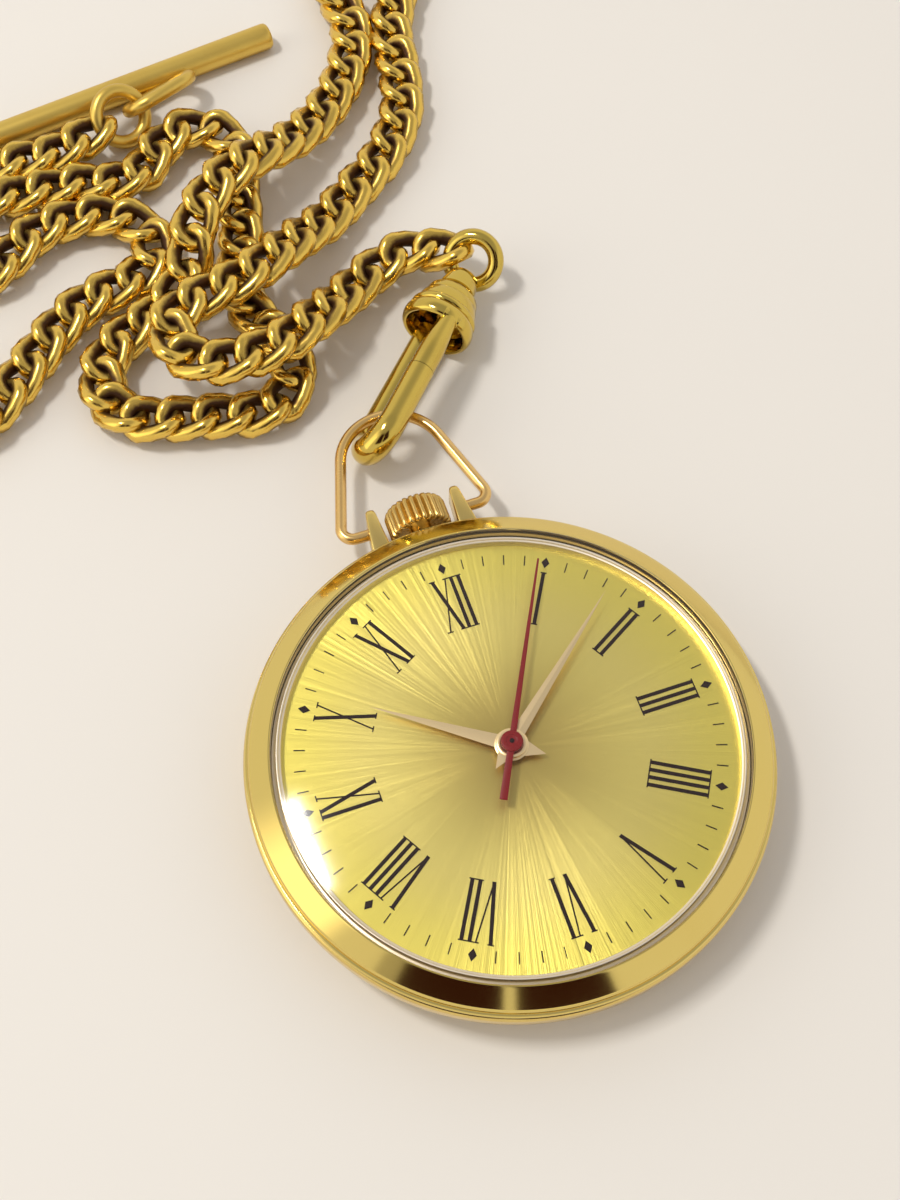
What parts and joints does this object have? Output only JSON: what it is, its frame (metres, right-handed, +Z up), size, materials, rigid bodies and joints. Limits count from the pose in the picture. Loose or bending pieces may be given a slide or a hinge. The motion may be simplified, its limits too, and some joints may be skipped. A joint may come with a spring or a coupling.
{
  "type": "pocket watch",
  "caption": "Open-face pocket watch with a domed crystal, hand-wound lever movement, fluted crown, swinging bow, and a spring clasp on a curb chain with a T-bar.",
  "frame": {"origin": "centre of the flat on the case back that the watch lies on, under the dial's centre", "axes": "+Z up through the dial and crystal, +Y from the centre to twelve o'clock and the crown, +X to three o'clock"},
  "size_m": [0.0632, 0.1137, 0.0096],
  "materials": {
    "case_gold": "polished gold plate",
    "chain_gold": "antique gold plate",
    "brass": "brushed",
    "steel": "brushed",
    "blued_steel": "blued",
    "spring_steel": "blank",
    "crystal": "clear, domed",
    "ruby": "polished",
    "dial": "gilt, sunburst brushed",
    "ink": "printed, matte",
    "hand_gold": "polished rose gold plate",
    "hand_red": "red lacquer",
    "seal": "matte"
  },
  "bodies": {
    "case": {"case_middle": "case_gold", "bezel": "case_gold", "crystal": "crystal", "tension_ring": "case_gold", "movement_ring": "steel", "case_screws": "steel", "pendant_tube": "case_gold", "dial": "dial", "dial_print": "ink", "main_plate": "brass", "barrel_bridge": "steel", "train_bridge": "steel", "balance_cock": "steel", "pallet_bridge": "steel", "bridge_screws": "blued_steel", "jewels": "ruby", "click_spring": "steel", "hairspring": "spring_steel"},
    "back": {"case_back": "case_gold", "back_seal": "seal"},
    "crown_slide": {"crown_seal": "seal"},
    "crown": {"crown": "case_gold", "winding_stem": "steel"},
    "sliding_pinion": {"sliding_pinion": "steel"},
    "winding_pinion": {"winding_pinion": "steel"},
    "crown_wheel": {"crown_wheel": "steel"},
    "ratchet": {"ratchet_wheel": "steel", "barrel_arbor": "steel"},
    "click": {"click": "steel"},
    "seconds": {"fourth_wheel": "brass", "second_hand": "hand_red"},
    "centre": {"centre_wheel": "brass", "cannon_pinion": "steel", "minute_hand": "hand_gold"},
    "third": {"third_wheel": "brass"},
    "escape": {"escape_wheel": "steel"},
    "barrel": {"mainspring_barrel": "brass", "barrel_cover": "brass", "mainspring": "spring_steel"},
    "hour": {"hour_wheel": "brass", "hour_hand": "hand_gold"},
    "minute_wheel": {"minute_wheel": "brass"},
    "setting_wheel": {"setting_wheel": "steel"},
    "pallet": {"pallet_fork": "steel", "pallet_stones": "ruby"},
    "balance": {"balance_wheel": "brass", "balance_staff": "steel"},
    "regulator": {"regulator": "steel"},
    "setting_lever": {"setting_lever": "steel"},
    "yoke": {"yoke": "steel"},
    "bow": {"bow": "case_gold"},
    "clasp": {"clasp_hook": "chain_gold", "clasp_pin": "chain_gold", "clasp_collar": "chain_gold", "clasp_swivel": "chain_gold", "chain_links": "chain_gold", "t_bar_ring": "chain_gold", "t_bar": "chain_gold"},
    "gate": {"clasp_gate": "chain_gold"}
  },
  "joints": [
    {"name": "back_off", "type": "slide", "parent": "case", "child": "back", "axis": [0, 0, -1], "range_m": [0, 0.012]},
    {"name": "crown_pull", "type": "slide", "parent": "case", "child": "crown_slide", "axis": [0, 1, 0], "range_m": [0, 0.001]},
    {"name": "crown_turn", "type": "hinge", "parent": "crown_slide", "child": "crown", "pos_m": [0, 0.0229, 0.00345], "axis": [0, 1, 0], "continuous": true},
    {"name": "sliding_pinion_shift", "type": "slide", "parent": "crown", "child": "sliding_pinion", "axis": [0, 1, 0], "range_m": [-0.0016, 0]},
    {"name": "winding_pinion_turn", "type": "hinge", "parent": "case", "child": "winding_pinion", "pos_m": [0, 0.01005, 0.00345], "axis": [0, 1, 0], "continuous": true},
    {"name": "crown_wheel_turn", "type": "hinge", "parent": "case", "child": "crown_wheel", "pos_m": [0, 0.00748, 0.0018], "axis": [0, 0, 1], "continuous": true},
    {"name": "ratchet_turn", "type": "hinge", "parent": "case", "child": "ratchet", "pos_m": [0.00531, 0.00339, 0.0018], "axis": [0, 0, 1], "continuous": true},
    {"name": "click_lift", "type": "hinge", "parent": "case", "child": "click", "pos_m": [0.00929, 0.00674, 0.00185], "axis": [0, 0, -1], "range_deg": [0, 8], "stiffness_Nm_per_rad": 0.000001, "springref_deg": -2.86},
    {"name": "seconds_turn", "type": "hinge", "parent": "case", "child": "seconds", "pos_m": [0, 0, 0.00785], "axis": [0, 0, -1], "continuous": true},
    {"name": "centre_turn", "type": "hinge", "parent": "case", "child": "centre", "pos_m": [0, 0, 0.0036], "axis": [0, 0, -1], "continuous": true},
    {"name": "third_turn", "type": "hinge", "parent": "case", "child": "third", "pos_m": [-0.00327, 0.00189, 0.0033], "axis": [0, 0, -1], "continuous": true},
    {"name": "escape_turn", "type": "hinge", "parent": "case", "child": "escape", "pos_m": [-0.00132, -0.00362, 0.0039], "axis": [0, 0, -1], "continuous": true},
    {"name": "barrel_turn", "type": "hinge", "parent": "case", "child": "barrel", "pos_m": [0.00531, 0.00339, 0.0042], "axis": [0, 0, -1], "continuous": true},
    {"name": "hour_turn", "type": "hinge", "parent": "case", "child": "hour", "pos_m": [0, 0, 0.0053], "axis": [0, 0, -1], "continuous": true},
    {"name": "minute_wheel_turn", "type": "hinge", "parent": "case", "child": "minute_wheel", "pos_m": [-0.00132, 0.00283, 0.00505], "axis": [0, 0, -1], "continuous": true},
    {"name": "setting_wheel_turn", "type": "hinge", "parent": "case", "child": "setting_wheel", "pos_m": [0, 0.0065, 0.005], "axis": [0, 0, -1], "continuous": true},
    {"name": "pallet_rock", "type": "hinge", "parent": "case", "child": "pallet", "pos_m": [0.00029, -0.00566, 0.00396], "axis": [0, 0, 1], "range_deg": [-5, 5]},
    {"name": "balance_swing", "type": "hinge", "parent": "case", "child": "balance", "pos_m": [0.00215, -0.00802, 0.0033], "axis": [0, 0, 1], "range_deg": [-270, 270], "stiffness_Nm_per_rad": 0.00000008},
    {"name": "regulator_turn", "type": "hinge", "parent": "case", "child": "regulator", "pos_m": [0.00215, -0.00802, 0.00198], "axis": [0, 0, 1], "range_deg": [-20, 20]},
    {"name": "setting_lever_turn", "type": "hinge", "parent": "case", "child": "setting_lever", "pos_m": [0.0024, 0.01125, 0.00345], "axis": [0, 0, 1], "range_deg": [-28, 0]},
    {"name": "yoke_turn", "type": "hinge", "parent": "case", "child": "yoke", "pos_m": [-0.0032, 0.0089, 0.00345], "axis": [0, 0, 1], "range_deg": [-15, 0]},
    {"name": "bow_swing", "type": "hinge", "parent": "case", "child": "bow", "pos_m": [0, 0.0229, 0.00345], "axis": [1, 0, 0], "range_deg": [0, 90]},
    {"name": "clasp_swing", "type": "hinge", "parent": "bow", "child": "clasp", "pos_m": [0, 0.0339, 0.00345], "axis": [1, 0, 0], "range_deg": [-90, 0]},
    {"name": "gate_open", "type": "hinge", "parent": "clasp", "child": "gate", "pos_m": [0.00906, 0.0406, 0.00562], "axis": [0.6334, -0.5906, -0.5], "range_deg": [0, 15], "stiffness_Nm_per_rad": 0.002, "springref_deg": -11.46}
  ],
  "couplings": [
    {"joint": "sliding_pinion_shift", "follows": "crown_pull", "ratio": -1.6},
    {"joint": "winding_pinion_turn", "follows": "crown_turn", "ratio": 1},
    {"joint": "crown_wheel_turn", "follows": "crown_turn", "ratio": 0.44444},
    {"joint": "ratchet_turn", "follows": "crown_turn", "ratio": -0.3},
    {"joint": "centre_turn", "follows": "seconds_turn", "ratio": 0.016667},
    {"joint": "third_turn", "follows": "seconds_turn", "ratio": -0.13333},
    {"joint": "escape_turn", "follows": "seconds_turn", "ratio": -10},
    {"joint": "barrel_turn", "follows": "seconds_turn", "ratio": -0.0027778},
    {"joint": "hour_turn", "follows": "seconds_turn", "ratio": 0.0013889},
    {"joint": "minute_wheel_turn", "follows": "seconds_turn", "ratio": -0.0055556},
    {"joint": "setting_wheel_turn", "follows": "seconds_turn", "ratio": 0.0083333},
    {"joint": "setting_lever_turn", "follows": "crown_pull", "rad_per_m": -478.46},
    {"joint": "yoke_turn", "follows": "crown_pull", "rad_per_m": -253.95},
    {"joint": "clasp_swing", "follows": "bow_swing", "ratio": -1}
  ]
}
